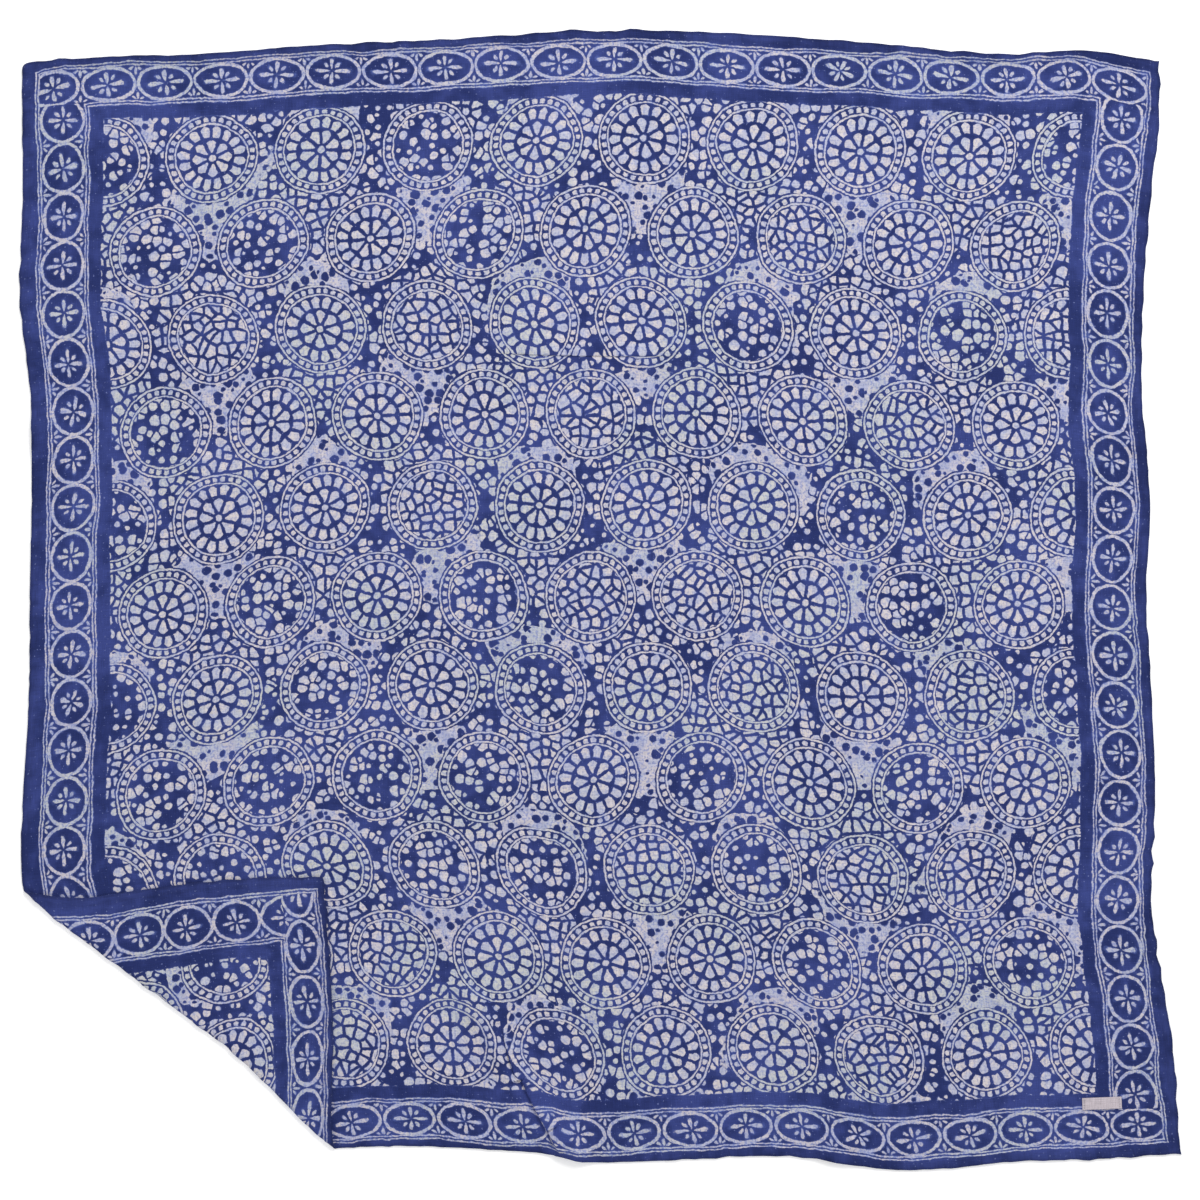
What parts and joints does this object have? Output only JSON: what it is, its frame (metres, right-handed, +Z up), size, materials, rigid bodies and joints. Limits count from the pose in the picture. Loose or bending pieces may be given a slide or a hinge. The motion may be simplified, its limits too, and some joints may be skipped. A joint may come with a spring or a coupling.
{
  "type": "batik bandana",
  "caption": "Square cotton bandana laid flat, face up, with one corner folded over onto the face and a small bare tape sewn near another.",
  "frame": {"origin": "under the middle of the laid cloth's box, on the surface that it lies on", "axes": "+Z up out of the face, +Y towards the edge that is at the top when the folded corner is at the bottom left, +X to the right"},
  "size_m": [0.572, 0.562, 0.0045],
  "materials": {
    "dyed_cotton": "matte",
    "woven_tape": "matte"
  },
  "bodies": {
    "root": {"cloth": "dyed_cotton", "label": "woven_tape"}
  },
  "joints": []
}
